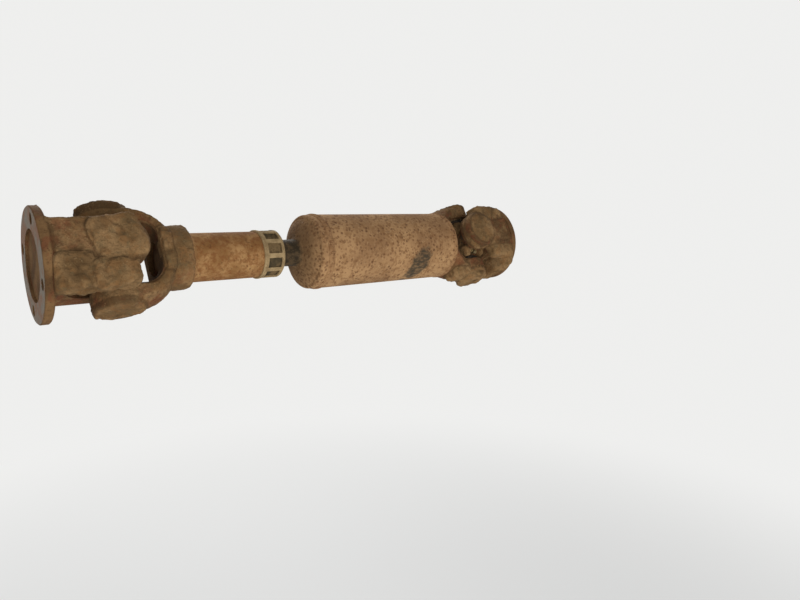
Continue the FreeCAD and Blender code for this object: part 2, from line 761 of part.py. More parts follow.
spare += cross_set("axle_cross", AXLE_JOINT)
joint_ends("axle_flange", AXLE_JOINT, "flange_phase")
seat(flange_yoke("axle_flange_yoke"), AXLE_JOINT, "flange_phase")

doc.recompute()

for item in doc.Objects:
    if "Invalid" in item.State or "Error" in item.State:
        raise RuntimeError(f"{item.Name} could not be worked out: {item.State}")

PIECES = [
    item for item in doc.Objects
    if item not in spare and item.isDerivedFrom("PartDesign::Body") or item.TypeId == "Part::Compound"
]
os.makedirs("parts", exist_ok=True)
for piece in PIECES:
    if piece.Shape.isNull() or not piece.Shape.isValid() or piece.Shape.Volume <= 0:
        raise RuntimeError(f"{piece.Label} has no sound solid")
for piece in PIECES:
    piece.Shape.exportStep(f"parts/{piece.Label}.step")
    centre = piece.Shape.BoundBox.Center
    print(f"{piece.Label:28s} {piece.Shape.Volume / 1000:9.2f} cm3  solids {len(piece.Shape.Solids)}"
          f"  centre {centre.x:7.1f} {centre.y:6.1f} {centre.z:6.1f}")
print("pieces", len(PIECES), " kilograms", round(sum(p.Shape.Volume for p in PIECES) * 7.85e-6, 2))
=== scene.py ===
import math

import bmesh
import bpy
import numpy as np
from mathutils import Matrix, Vector


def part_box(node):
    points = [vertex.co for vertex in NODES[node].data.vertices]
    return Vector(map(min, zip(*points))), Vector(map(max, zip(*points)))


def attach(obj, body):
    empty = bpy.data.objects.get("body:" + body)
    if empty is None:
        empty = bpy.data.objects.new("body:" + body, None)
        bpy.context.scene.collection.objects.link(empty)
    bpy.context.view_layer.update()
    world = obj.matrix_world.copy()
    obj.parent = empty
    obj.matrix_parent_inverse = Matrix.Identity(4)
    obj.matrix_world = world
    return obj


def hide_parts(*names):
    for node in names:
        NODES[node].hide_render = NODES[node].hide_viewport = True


# Dried mud, dust, rust and grease for a telescopic propeller shaft.
# Metres, in the shaft's own frame: +X towards the axle flange, +Z up, the photo's camera on the -Y side.

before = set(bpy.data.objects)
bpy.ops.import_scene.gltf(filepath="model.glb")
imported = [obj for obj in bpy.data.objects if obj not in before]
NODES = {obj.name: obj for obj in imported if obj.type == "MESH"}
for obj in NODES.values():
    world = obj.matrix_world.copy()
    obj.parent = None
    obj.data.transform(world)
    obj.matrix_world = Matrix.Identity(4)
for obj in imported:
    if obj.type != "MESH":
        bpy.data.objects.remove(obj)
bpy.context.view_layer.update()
MM = 0.001

# In metres: how near two corners of a solid lie that are one, and a place past either end of the shaft.
SAME_PLACE = 1e-6
FAR = 1


def middle(node):
    """The middle of a solid's box."""
    low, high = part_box(node)
    return (low + high) / 2


# Places and sizes, read from the solids.
GEARBOX_JOINT = middle("gearbox_cross")
AXLE_JOINT = middle("axle_cross")
SHAFT_MIDDLE = (GEARBOX_JOINT.x + AXLE_JOINT.x) / 2
GEARBOX_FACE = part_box("gearbox_flange_yoke")[0].x
AXLE_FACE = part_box("axle_flange_yoke")[1].x
TUBE_LOW, TUBE_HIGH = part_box("tube")
TUBE_RADIUS = (TUBE_HIGH.z - TUBE_LOW.z) / 2
FLANGE_LUGS = (middle("gearbox_flange_cup_up") - middle("gearbox_flange_cup_down")).normalized()
SLIP_LUGS = (middle("slip_yoke_cup_up") - middle("slip_yoke_cup_down")).normalized()
JOINT_AXES = np.array([(1, 0, 0), FLANGE_LUGS, SLIP_LUGS])
SHAFT_LINE = JOINT_AXES[0]

# Places and sizes that no box gives, as in the part's source.
HUB_END = GEARBOX_JOINT.x + 65.5 * MM
NECK_END = TUBE_LOW.x - 22 * MM
CAP_RADIUS = 24.25 * MM
CUP_OUTER = 43.4 * MM
CLIP_INNER = 15.8 * MM

# The mud's mesh: the size of its cells, the radius to which hollows are filled, and the smoothing.
MUD_CELL = 1.0 * MM
MUD_FILL = 2 * MM
MUD_SMOOTHING = 3

# The mud's forms, in millimetres out from the filled skin, how far its patterns are bent, and the
# depth that looks fully dry.
PLATE_RISE = 0.6
SWELL_RISE = 0.9
CRUMB_RISE = 0.6
SETTLED_RISE = 2.0
GRAIN_RISE = 1.3
CRACK_DEPTH = 0.8
INSIDE_SINK = 0.4
END_SINK = 1.2
BEND = 6
FULL_DEPTH = 3

# How the mud ends: how ragged a clod's rim is, and the lengths over which it fades.
RAGGED = 0.12
END_FADE = 4 * MM
BARE_FACE_REACH = (4.5 * MM, 7 * MM)

# The mud's noises: grain in millimetres, step of the seed, and layers.
MUD_NOISES = {
    "plates": (22, 0, 3),
    "settled": (14, 5, 3),
    "grain": (2.6, 9, 3),
    "swell": (15, 13, 3),
    "crumbs": (5, 17, 3),
    "bend": (9, 21, 3),
    "rim": (7, 31, 3),
    "cracks": (17, 41, 2),
    "cracked": (24, 45, 1),
}

# The dust cakes on the cups: rise in the middle, depth of the foot, gap to the snap ring, and lumps.
CAKE_RISE = 1.7 * MM
CAKE_FOOT = 0.5 * MM
CAKE_GAP = 0.15 * MM
CAKE_LUMPS = 1.2 * MM
CAKE_SEED = 7

# The weld beads: points and ripples round them, rise, depth at the edges and at the foot, and lumps.
BEAD_POINTS = 900
BEAD_RIPPLES = 110
BEAD_OVERLAP = 0.6 * MM
BEAD_RISE = 0.9 * MM
BEAD_SINK = 0.25 * MM
BEAD_FOOT = 1.2 * MM
BEAD_LUMPS = 0.7


# Noise, as whole arrays.

def ramp(value, low, high):
    """0 below low, 1 above high and 3t^2 - 2t^3 between them."""
    step = np.clip((value - low) / (high - low), 0, 1)
    return step * step * (3 - 2 * step)


LATTICE_SCALES = np.array([127.1, 311.7, 74.7])
LATTICE_SEED = 53.3
LATTICE_SINE = 43758.5453


def lattice(place, seed):
    """A repeatable number from 0 to 1 at each whole-numbered place: the fraction of a large sine."""
    mixed = np.sin(place @ LATTICE_SCALES + seed * LATTICE_SEED) * LATTICE_SINE
    return mixed - np.floor(mixed)


def lumps(points, grain, seed=0):
    """Noise from 0 to 1 with lumps one grain across: lattice values blended by ramps."""
    place = points / grain
    cell = np.floor(place)
    step = ramp(place - cell, 0, 1)
    total = np.zeros(len(points))
    for corner in np.ndindex(2, 2, 2):
        weight = np.prod(np.where(corner, step, 1 - step), axis=1)
        total += weight * lattice(cell + corner, seed)
    return total


def rough(points, grain, seed=0, layers=3):
    """Sum of lumps, each layer half as coarse and half as strong as the last, back in 0 to 1."""
    total = np.zeros(len(points))
    for layer in range(layers):
        total += lumps(points, grain / 2 ** layer, seed + layer * 7) / 2 ** layer
    return total / (2 - 2 / 2 ** layers)


# Meshes.

def set_finish(mesh, material):
    """Make one material the whole mesh's."""
    mesh.materials.clear()
    mesh.materials.append(material)


def new_piece(name, mesh, body, material):
    """A finished mesh as an object that rides on a body."""
    piece = bpy.data.objects.new(name, mesh)
    bpy.context.scene.collection.objects.link(piece)
    set_finish(mesh, material)
    mesh.polygons.foreach_set("use_smooth", np.ones(len(mesh.polygons), bool))
    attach(piece, body)
    return piece


def carry(mesh, name, values):
    """Store a number at each vertex, for the material to read."""
    made = mesh.attributes.new(name, "FLOAT", "POINT")
    made.data.foreach_set("value", values)


def outward(mesh):
    """Turn a mesh's faces outwards."""
    work = bmesh.new()
    work.from_mesh(mesh)
    bmesh.ops.recalc_face_normals(work, faces=work.faces)
    work.to_mesh(mesh)
    work.free()


def grid_mesh(name, points, ends):
    """A mesh over a grid of points: the rows run round and join, the columns run along.

    ends "poles" closes the first and the last column to their mean points, "joined" joins them to
    each other.
    """
    rows, columns = points.shape[:2]
    number = np.arange(rows * columns).reshape(rows, columns)
    if ends == "joined":
        number = np.hstack([number, number[:, :1]])
    after = np.roll(number, -1, axis=0)
    faces = np.stack([number[:, :-1], after[:, :-1], after[:, 1:], number[:, 1:]], axis=-1)
    faces = faces.reshape(-1, 4).tolist()
    corners = points.reshape(-1, 3)
    if ends == "poles":
        first = np.full(rows, len(corners))
        corners = np.vstack([corners, points[:, 0].mean(axis=0), points[:, -1].mean(axis=0)])
        faces += np.stack([first, after[:, 0], number[:, 0]], axis=-1).tolist()
        faces += np.stack([first + 1, number[:, -1], after[:, -1]], axis=-1).tolist()
    mesh = bpy.data.meshes.new(name)
    mesh.from_pydata(corners.tolist(), [], faces)
    outward(mesh)
    return mesh


def round_grid(end, columns, rows):
    """The two angles of a closed grid, in radians: from -end to end between its poles, and all round."""
    along = np.linspace(-end, end, columns)[None, :]
    turn = np.linspace(-np.pi, np.pi, rows, endpoint=False)[:, None]
    return along, turn


def rays(out, turn):
    """Arrows one long, square to out: the shaft's line * cos(turn) + (out x that line) * sin(turn)."""
    return np.cos(turn)[..., None] * SHAFT_LINE + np.sin(turn)[..., None] * np.cross(out, SHAFT_LINE)


def signed_power(value, power):
    """A number raised to a power by its size, with its sign kept."""
    return np.sign(value) * np.abs(value) ** power


# Lumps of mud. clod and pad each give a lump's points, and a function that is 1 on its skin or rim
# and more outside.

def from_joint(joint, places):
    """Places in millimetres about a joint, as metres in the shaft's frame.

    The three numbers run along the shaft, out along the flange yoke's near lug and up along the
    other yoke's upper lug.
    """
    return np.array(joint) + places * MM @ JOINT_AXES


def about_joint(joint, places):
    """Metres in the shaft's frame, as millimetres about a joint."""
    return (places - np.array(joint)) / MM @ JOINT_AXES.T


def clod(joint, centre, halves, blunt=0.35, turn=0):
    """A lump of mud with blunt corners, in millimetres about a joint, turned about the near lug's axis.

    A superellipsoid: each half size times the sine or cosine of its angle raised to blunt, with
    the sign kept.
    """
    u, v = round_grid(end=1.54, columns=29, rows=56)
    c = math.cos(math.radians(turn))
    s = math.sin(math.radians(turn))
    spin = np.array([(c, 0, s), (0, 1, 0), (-s, 0, c)])
    centre = np.array(centre)
    halves = np.array(halves)
    ring = signed_power(np.cos(u), blunt)
    side = ring * signed_power(np.cos(v), blunt)
    front = ring * signed_power(np.sin(v), blunt)
    top = signed_power(np.sin(u), blunt) + 0 * v
    shape = np.stack([side, front, top], axis=-1)

    def nearness(places):
        local = (about_joint(joint, places) - centre) @ spin.T / halves
        return (np.abs(local) ** (2 / blunt)).sum(axis=1) ** (blunt / 2)

    return from_joint(joint, centre + shape * halves @ spin), nearness


def pad(joint, out, radius, low, high, blunt=0.4):
    """A blunt round pad over a lug's end, from low to high millimetres out along its axis.

    A superellipse of power 2 / blunt turned about the axis.
    """
    u, v = round_grid(end=1.52, columns=21, rows=60)
    wide = radius * signed_power(np.cos(u), blunt)
    rise = (high + low) / 2 + (high - low) / 2 * signed_power(np.sin(u), blunt)
    out = np.array(out)
    shape = rays(out, v) * wide[..., None] + out * (rise + 0 * v)[..., None]

    def nearness(places):
        arm = (places - np.array(joint)) / MM
        along = arm @ out
        return np.linalg.norm(arm - along[:, None] * out, axis=1) / radius + (along < low)

    return np.array(joint) + MM * shape, nearness


# The pieces.

def with_clods(node, clods):
    """A solid's mesh with its loose triangles joined and clods added, as a bare object."""
    mesh = NODES[node].data.copy()
    work = bmesh.new()
    work.from_mesh(mesh)
    bmesh.ops.remove_doubles(work, verts=work.verts, dist=SAME_PLACE)
    for points, nearness in clods:
        lump = grid_mesh("clod", points, "poles")
        work.from_mesh(lump)
        bpy.data.meshes.remove(lump)
    work.to_mesh(mesh)
    work.free()
    for layer in list(mesh.attributes):
        if layer.name == "custom_normal":
            mesh.attributes.remove(layer)
    piece = bpy.data.objects.new(node + "_copy", mesh)
    bpy.context.scene.collection.objects.link(piece)
    return piece


def filled_skin(node, clods):
    """A solid's skin with clods grown onto it and its hollows filled to a radius of MUD_FILL.

    The skin is meshed in cells, moved out along its normals, meshed again, moved back and meshed
    once more.
    """
    piece = with_clods(node, clods)
    for push in (0, MUD_FILL, -MUD_FILL):
        if push:
            move = piece.modifiers.new("move", "DISPLACE")
            move.strength = push
            move.mid_level = 0
        cells = piece.modifiers.new("cells", "REMESH")
        cells.mode = "VOXEL"
        cells.voxel_size = MUD_CELL
        cells.use_smooth_shade = True
    smooth = piece.modifiers.new("smooth", "SMOOTH")
    smooth.factor = 0.5
    smooth.iterations = MUD_SMOOTHING
    found = bpy.context.evaluated_depsgraph_get()
    mesh = bpy.data.meshes.new_from_object(piece.evaluated_get(found))
    bpy.data.objects.remove(piece)
    return mesh


def places_and_normals(mesh):
    """A mesh's vertices and its normals there, as two arrays."""
    places = np.empty(len(mesh.vertices) * 3)
    mesh.vertices.foreach_get("co", places)
    normals = np.empty(len(mesh.vertices) * 3)
    mesh.vertex_normals.foreach_get("vector", normals)
    return places.reshape(-1, 3), normals.reshape(-1, 3)


def mud_skin(name, node, body, joint, seed, clods, bare_face=None, low_x=-FAR, high_x=FAR, film=0.05,
             lumpy=3.4):
    """Dried mud over a forging, thick on its clods and on top, and a film elsewhere.

    Each point of the filled skin moves along its normal by film + plates + (SWELL_RISE + lumpy *
    caked) * swell + crumbs - cracks + settled + grain, in millimetres. It sinks under the steel
    near the bolting face, inside the fork, below low_x and past high_x.
    """
    mesh = filled_skin(node, clods)
    places, normals = places_and_normals(mesh)

    def noise(kind, at=places):
        grain, step, layers = MUD_NOISES[kind]
        return rough(at, grain * MM, seed + step, layers)

    # Where the mud lies.
    arm = places - np.array(joint)
    away = arm / np.maximum(np.linalg.norm(arm, axis=1, keepdims=True), SAME_PLACE)
    facing_out = ramp((away * normals).sum(axis=1), -0.05, 0.4)
    upward = ramp(normals[:, 2], 0.2, 0.95)
    near = np.min([nearness(places) for points, nearness in clods], axis=0)
    ragged = near + (noise("rim") - 0.5) * RAGGED
    caked = 1 - ramp(ragged, 1.04, 1.16)
    kept = ramp(places[:, 0], low_x - END_FADE, low_x)
    kept *= 1 - ramp(places[:, 0], high_x, high_x + END_FADE)
    if bare_face is not None:
        kept *= ramp(np.abs(places[:, 0] - bare_face), *BARE_FACE_REACH)

    # Its forms.
    bent = places + (noise("bend")[:, None] - 0.5) * BEND * MM
    plates = ramp(noise("plates", bent), 0.44, 0.56)
    swell = noise("swell", bent) - 0.5
    crumbs = ramp(noise("crumbs", bent), 0.5, 0.66) * caked
    cracks = 1 - ramp(np.abs(noise("cracks", bent) - 0.5), 0.01, 0.08)
    cracks *= caked * ramp(noise("cracked"), 0.25, 0.5)
    settled = upward * noise("settled")
    grain = noise("grain") - 0.5

    # Its thickness, and what the material reads.
    thick = film + PLATE_RISE * plates + (SWELL_RISE + lumpy * caked) * swell
    thick = thick + CRUMB_RISE * crumbs - CRACK_DEPTH * cracks
    thick = (thick + SETTLED_RISE * settled) * MM
    thick = thick * facing_out + (facing_out - 1) * INSIDE_SINK * MM + grain * GRAIN_RISE * MM * facing_out
    thick = thick * kept - (1 - kept) * END_SINK * MM
    mesh.vertices.foreach_set("co", (places + normals * thick[:, None]).ravel())
    depth = np.maximum(thick / (FULL_DEPTH * MM), caked * kept * (0.75 + 0.5 * (swell + 0.5)))
    # The band at each clod's rim and the cracks carry painted shade: the material darkens these crevices.
    crevice = ramp(ragged, 1.0, 1.08) * (1 - ramp(ragged, 1.1, 1.24))
    crevice = np.maximum(crevice, 0.65 * cracks)
    # mud_top carries the upward faces, which the material darkens as painted shade.
    for layer, values in (("mud_depth", depth), ("mud_crevice_shade", crevice * facing_out), ("mud_top", upward)):
        carry(mesh, layer, np.clip(values, 0, 1))
    new_piece(name, mesh, body, DRIED_MUD)


def cup_dust(name, body, joint, out):
    """Dust packed on a bearing cup's face inside its snap ring.

    A round cake: at the fraction r of its radius it stands CAKE_RISE * (1 - r^6) over the cup, with
    lumps on top, and its flat foot lies just under the cup's face.
    """
    top = np.linspace(0.02, 1, 26)
    fraction = np.concatenate([top, top[-2::-4]])[None, :]
    foot = np.arange(fraction.shape[1])[None, :] >= len(top)
    turn = np.linspace(0, 2 * np.pi, 72, endpoint=False)[:, None]
    out = np.array(out)
    spread = rays(out, turn) * (fraction * (CLIP_INNER - CAKE_GAP))[..., None]
    height = np.where(foot, -CAKE_FOOT, CAKE_RISE * (1 - fraction ** 6)) + 0 * turn
    points = np.array(joint) + spread + out * (CUP_OUTER + height)[..., None]
    places = points.reshape(-1, 3)
    lump = rough(places, 6 * MM, CAKE_SEED) - 0.45 + 0.4 * (rough(places, 2 * MM, CAKE_SEED + 4) - 0.5)
    lump = lump.reshape(height.shape) * (1 - fraction ** 8) * ~foot
    points += out * (lump * CAKE_LUMPS)[..., None]
    mesh = grid_mesh(name, points, "poles")
    carry(mesh, "mud_depth", np.full(len(mesh.vertices), 0.5))
    new_piece(name, mesh, body, DRIED_MUD)


def weld_ripple(name, node, body, seed):
    """A weld bead round the tube: a low arch across, with ripples that lag at its edges.

    Its radius is the tube's + BEAD_RISE * (1 - t^2) * (1 + ripple) - BEAD_SINK, t from -1 to 1
    across the bead, and its foot lies inside the tube's wall.
    """
    low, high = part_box(node)
    half = (high.x - low.x) / 2 + BEAD_OVERLAP
    turn = np.linspace(0, 2 * np.pi, BEAD_POINTS, endpoint=False)[:, None]
    top = np.linspace(-1, 1, 17)
    t = np.concatenate([top, (0.8, -0.8)])[None, :]
    foot = np.arange(t.shape[1])[None, :] >= len(top)
    ripple = 0.22 * np.sin(BEAD_RIPPLES * turn + 3.2 * t ** 2)
    wander = np.sin(3 * turn + seed) * 0.25 + np.sin(7 * turn + 2 * seed) * 0.15
    arch = BEAD_RISE * (1 - t ** 2) * (1 + ripple) - BEAD_SINK
    radius = TUBE_RADIUS + np.where(foot, -BEAD_FOOT, arch)
    x = (high.x + low.x) / 2 + t * half + wander * MM
    points = np.stack([x, radius * np.cos(turn), radius * np.sin(turn)], axis=-1)
    lump = rough(points.reshape(-1, 3), 6 * MM, seed).reshape(x.shape) - 0.5
    points[..., 1:] *= (1 + lump * BEAD_LUMPS * MM / TUBE_RADIUS)[..., None]
    piece = new_piece(name, grid_mesh(name, points, "joined"), body, DUSTY_WELD)
    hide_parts(node)


# Shader maths.

class Shade:
    """A number on a shader socket. Sums and products of shades add the Math nodes for them."""

    def __init__(self, nodes, socket):
        self.nodes = nodes
        self.socket = socket

    def joined(self, operation, first, second):
        """What a Math node makes of two shades or numbers."""
        made = self.nodes.node("Math", {"operation": operation}, {0: first, 1: second})
        return Shade(self.nodes, made.outputs[0])

    def __add__(self, other):
        return self.joined("ADD", self, other)

    def __radd__(self, other):
        return self.joined("ADD", other, self)

    def __sub__(self, other):
        return self.joined("SUBTRACT", self, other)

    def __rsub__(self, other):
        return self.joined("SUBTRACT", other, self)

    def __mul__(self, other):
        return self.joined("MULTIPLY", self, other)

    def __rmul__(self, other):
        return self.joined("MULTIPLY", other, self)

    def __pow__(self, other):
        return self.joined("POWER", self, other)

    def between(self, low, high):
        """0 at low, 1 at high, eased at both ends."""
        made = self.nodes.node("MapRange", {"interpolation_type": "SMOOTHSTEP", "clamp": True},
                               {"Value": self, "From Min": low, "From Max": high})
        return Shade(self.nodes, made.outputs[0])


class Nodes:
    """A tree of shader nodes."""

    def __init__(self, tree):
        self.tree = tree

    def node(self, kind, settings=None, sockets=None):
        """A node of that kind, its settings first and then its sockets' values or links."""
        made = self.tree.nodes.new("ShaderNode" + kind)
        for name, value in (settings or {}).items():
            setattr(made, name, value)
        for name, value in (sockets or {}).items():
            self.feed(made.inputs[name], value)
        return made

    def feed(self, socket, value):
        """Link a shade or a socket to a socket, or set its value."""
        if isinstance(value, Shade):
            self.tree.links.new(value.socket, socket)
        elif isinstance(value, bpy.types.NodeSocket):
            self.tree.links.new(value, socket)
        else:
            socket.default_value = value

    def seen(self):
        """1 for what the camera sees straight, in a gloss or through glass, 0 for light on the object."""
        path = self.node("LightPath").outputs
        total = Shade(self, path["Is Camera Ray"])
        for name in ("Is Glossy Ray", "Is Transmission Ray"):
            total = total.joined("MAXIMUM", total, path[name])
        return total


class Paint(Nodes):
    """One material and its nodes."""

    def __init__(self, name):
        self.material = bpy.data.materials.new(name)
        self.material.use_nodes = True
        super().__init__(self.material.node_tree)
        self.shader = self.tree.nodes["Principled BSDF"]
        self.place = self.node("TexCoord").outputs["Object"]

    def coordinate(self, axis):
        """The distance along one axis, in millimetres."""
        made = self.node("SeparateXYZ", None, {"Vector": self.place})
        return Shade(self, made.outputs[axis]) * 1000

    def noise(self, grain, detail=3.0, roughness=0.55, stretch=(1, 1, 1), shift=0.0):
        """Noise from 0 to 1 whose lumps are about grain millimetres across."""
        scaled = self.node("Mapping", None, {"Vector": self.place, "Location": (shift, shift, shift),
                                             "Scale": stretch})
        made = self.node("TexNoise", None, {"Vector": scaled.outputs[0], "Scale": 1000 / grain,
                                            "Detail": detail, "Roughness": roughness})
        return Shade(self, made.outputs[0])

    def specks(self, spacing, shift=0.0):
        """The distance to the nearest of scattered points, in spacings."""
        moved = self.node("Mapping", None, {"Vector": self.place, "Location": (shift, shift, shift)})
        made = self.node("TexVoronoi", {"feature": "F1"}, {"Vector": moved.outputs[0],
                                                           "Scale": 1000 / spacing})
        return Shade(self, made.outputs[0])

    def carried(self, name):
        """A number stored on the mesh."""
        return Shade(self, self.node("Attribute", {"attribute_name": name}).outputs["Fac"])

    def blend(self, mask, first, second):
        """The first colour where the mask is 0, the second where it is 1."""
        made = self.node("Mix", {"data_type": "RGBA"}, {0: mask, 6: first, 7: second})
        return made.outputs[2]

    def finish(self, colour, roughness, bump=None, height=1.0, metallic=0.0, gloss=0.12):
        """Join the surface's colour, roughness and metal, and bumps whose full height is in millimetres."""
        self.shader.inputs["Specular IOR Level"].default_value = gloss
        self.feed(self.shader.inputs["Base Color"], colour)
        self.feed(self.shader.inputs["Roughness"], roughness)
        self.feed(self.shader.inputs["Metallic"], metallic)
        if bump is not None:
            made = self.node("Bump", None, {"Strength": 1.0, "Distance": height * MM, "Height": bump})
            self.feed(self.shader.inputs["Normal"], made.outputs[0])
        return self.material


def tone(red, green, blue):
    """A colour from 0 to 255 as seen on a screen, in the linear values that a shader takes."""
    part = np.array([red, green, blue]) / 255
    linear = np.where(part <= 0.04045, part / 12.92, ((part + 0.055) / 1.055) ** 2.4)
    return (*linear.tolist(), 1.0)


# Colours of soil, mud and rust.
SOIL = tone(78, 57, 35)
# Dark soil, and also the painted shade in the mud's crevices.
DARK_SOIL_AND_SHADE = tone(60, 43, 26)
DULL_MUD = tone(108, 83, 53)
DRY_MUD = tone(142, 112, 76)
RUSTY_MUD = tone(122, 87, 52)
OLIVE_MUD = tone(92, 80, 56)
# Painted shade on the mud's upward faces.
TOP_SHADE_MUD = tone(96, 72, 46)
PALE_CRUMB = tone(160, 132, 94)
RUST = tone(98, 61, 36)
RED_RUST = tone(104, 60, 38)
BROWN_SCALE = tone(84, 61, 38)

# Colours of the forgings and their bolting faces.
FORGING_DUST = tone(118, 89, 57)
FORGING_PIT = tone(54, 38, 24)
BARE_STEEL = tone(112, 102, 88)
FACE_RUST = tone(114, 77, 47)
FACE_STAIN = tone(80, 56, 37)

# Colours of the sleeve.
SLEEVE_ORANGE = tone(122, 85, 48)
SLEEVE_DUST = tone(158, 121, 78)
SLEEVE_RUST = tone(120, 75, 40)
SLEEVE_MOTTLE = tone(112, 68, 37)
SLEEVE_SPOT = tone(90, 59, 34)
SLEEVE_GRIME = tone(98, 70, 42)

# Colours of the tube and its welds.
DULL_TUBE = tone(134, 101, 69)
TUBE_DUST = tone(164, 128, 89)
TUBE_MOTTLE = tone(118, 83, 51)
TUBE_PIT = tone(98, 64, 40)
TUBE_SPOT = tone(82, 51, 32)
TUBE_FLECK = tone(178, 144, 103)
GREY_PAINT = tone(58, 51, 39)
WELD_PORE = tone(76, 52, 34)

# Colours of the stub.
BROWN_NECK = tone(78, 56, 34)
BLACK_GREASE = tone(44, 35, 22)
THIN_GREASE = tone(76, 60, 40)
GREASE_GRIT = tone(98, 79, 54)

# Colours of the dust cap.
DULL_RIB = tone(128, 107, 76)
PALE_RIB = tone(156, 133, 97)
RIB_GRIME = tone(92, 72, 46)
# Dirt and painted shade darken the cap's pockets.
POCKET_DIRT_AND_SHADE = tone(66, 57, 41)
POCKET_DUST = tone(108, 88, 60)
POCKET_SHADE = tone(50, 42, 29)

# The rubbed patch low on the tube's near side, millimetres in the shaft's frame.
RUB_X = 389.0
RUB_Z = -18.0
RUB_HALF_WIDE = 17.0
RUB_HALF_HIGH = 23.0

# How deep a bolting face's look is whole, and where it has gone, in millimetres.
FACE_WHOLE = 0.15
FACE_GONE = 0.45


# Materials.

def dried_mud():
    """Caked mud: tan where it is thick and dry, dark and rusty where it thins out, with painted shade in
    its crevices and on its upward faces.
    """
    paint = Paint("dried_mud")
    depth = paint.carried("mud_depth")
    edge = paint.carried("mud_crevice_shade")
    top = paint.carried("mud_top")
    wide = paint.noise(30, 3)
    fine = paint.noise(2.4, 4, 0.7)
    colour = paint.blend(wide.between(0.4, 0.6), DULL_MUD, DRY_MUD)
    colour = paint.blend(paint.noise(10, 4, 0.65, shift=3).between(0.46, 0.62) * 0.6, colour, RUSTY_MUD)
    colour = paint.blend(paint.noise(8, 4, 0.7, shift=13).between(0.54, 0.66) * 0.5, colour, OLIVE_MUD)
    stain = paint.blend(paint.noise(15, 3, shift=6).between(0.4, 0.58), BROWN_SCALE, RED_RUST)
    thin = 1 - (depth + paint.noise(4, 3) * 0.4 - 0.2).between(0.02, 0.52)
    colour = paint.blend(thin * 0.85, colour, stain)
    # Painted shade: faces that look up are darkened.
    colour = paint.blend(top * 0.25, colour, TOP_SHADE_MUD)
    # Painted shade: the crevices at clod rims and the cracks are darkened.
    colour = paint.blend(edge * 0.6, colour, DARK_SOIL_AND_SHADE)
    colour = paint.blend(fine.between(0.5, 0.68) * 0.55, colour, SOIL)
    crumbs = (1 - paint.specks(2.2).between(0.1, 0.42)) * paint.noise(7, 2, shift=9).between(0.5, 0.62)
    colour = paint.blend(crumbs * 0.3, colour, PALE_CRUMB)
    bump = paint.noise(6, 4, 0.6, shift=4) * 1.2 + fine * 0.7
    bump += paint.noise(0.9, 3, 0.6) * 0.3
    bump += crumbs * 0.2
    return paint.finish(colour, 0.95, bump, 1.3)


def forging_rust(paint):
    """The colour of scaled, rusty forged steel under a film of dust, and its bumps."""
    wide = paint.noise(26, 4)
    fine = paint.noise(2.2, 4, 0.7)
    colour = paint.blend(wide.between(0.38, 0.62), BROWN_SCALE, FORGING_DUST)
    colour = paint.blend(paint.noise(9, 4, 0.6, shift=2).between(0.5, 0.66) * 0.6, colour, RED_RUST)
    colour = paint.blend(fine.between(0.5, 0.7) * 0.5, colour, DARK_SOIL_AND_SHADE)
    colour = paint.blend((1 - paint.specks(3.1).between(0.08, 0.3)) * 0.5, colour, FORGING_PIT)
    return colour, fine * 0.7 + paint.noise(6, 3) * 0.5


def rusty_forging():
    """Rusty forged steel, with the flanges' bolting faces machined flat and only filmed with rust."""
    paint = Paint("rusty_forging")
    colour, bump = forging_rust(paint)
    along = paint.coordinate("X")
    axle_face = AXLE_FACE / MM
    face = 1 - along.between(FACE_WHOLE, FACE_GONE)
    face += along.between(axle_face - FACE_GONE, axle_face - FACE_WHOLE)
    film = paint.blend(paint.noise(15, 4, 0.6, shift=8).between(0.4, 0.62), BARE_STEEL, FACE_RUST)
    film = paint.blend(paint.noise(3, 4, 0.7).between(0.5, 0.68) * 0.6, film, FACE_STAIN)
    colour = paint.blend(face, colour, film)
    return paint.finish(colour, 0.88 - face * 0.3, bump * (1 - face * 0.85), 0.6, face * 0.35)


def dusty_sleeve():
    """The slip yoke: a rusty fork that turns to a smoother, orange and dusty sleeve past its hub."""
    paint = Paint("dusty_sleeve")
    fork, fork_bump = forging_rust(paint)
    along = paint.coordinate("X") + paint.noise(20, 3) * 12 - 6
    sleeve = along.between(HUB_END / MM - 14, HUB_END / MM - 2)
    wide = paint.noise(26, 4, shift=4)
    fine = paint.noise(1.8, 4, 0.7)
    mottle = paint.noise(4.2, 4, 0.7, shift=15)
    spots = paint.noise(2.8, 3, 0.6, shift=5).between(0.56, 0.68)
    spots *= paint.noise(16, 3, shift=6).between(0.38, 0.58)
    colour = paint.blend(wide.between(0.36, 0.64), SLEEVE_ORANGE, SLEEVE_DUST)
    colour = paint.blend(paint.noise(8, 4, 0.65, shift=1).between(0.47, 0.62) * 0.5, colour, SLEEVE_RUST)
    colour = paint.blend(mottle.between(0.46, 0.6) * 0.6, colour, SLEEVE_MOTTLE)
    colour = paint.blend(spots * 0.7, colour, SLEEVE_SPOT)
    colour = paint.blend(fine.between(0.52, 0.7) * 0.3, colour, SLEEVE_GRIME)
    colour = paint.blend(sleeve, fork, colour)
    bump = paint.noise(2.6, 4, 0.6) * 0.6 - spots * 0.4
    return paint.finish(colour, 0.9, fork_bump * (1 - sleeve) + bump * sleeve, 0.55)


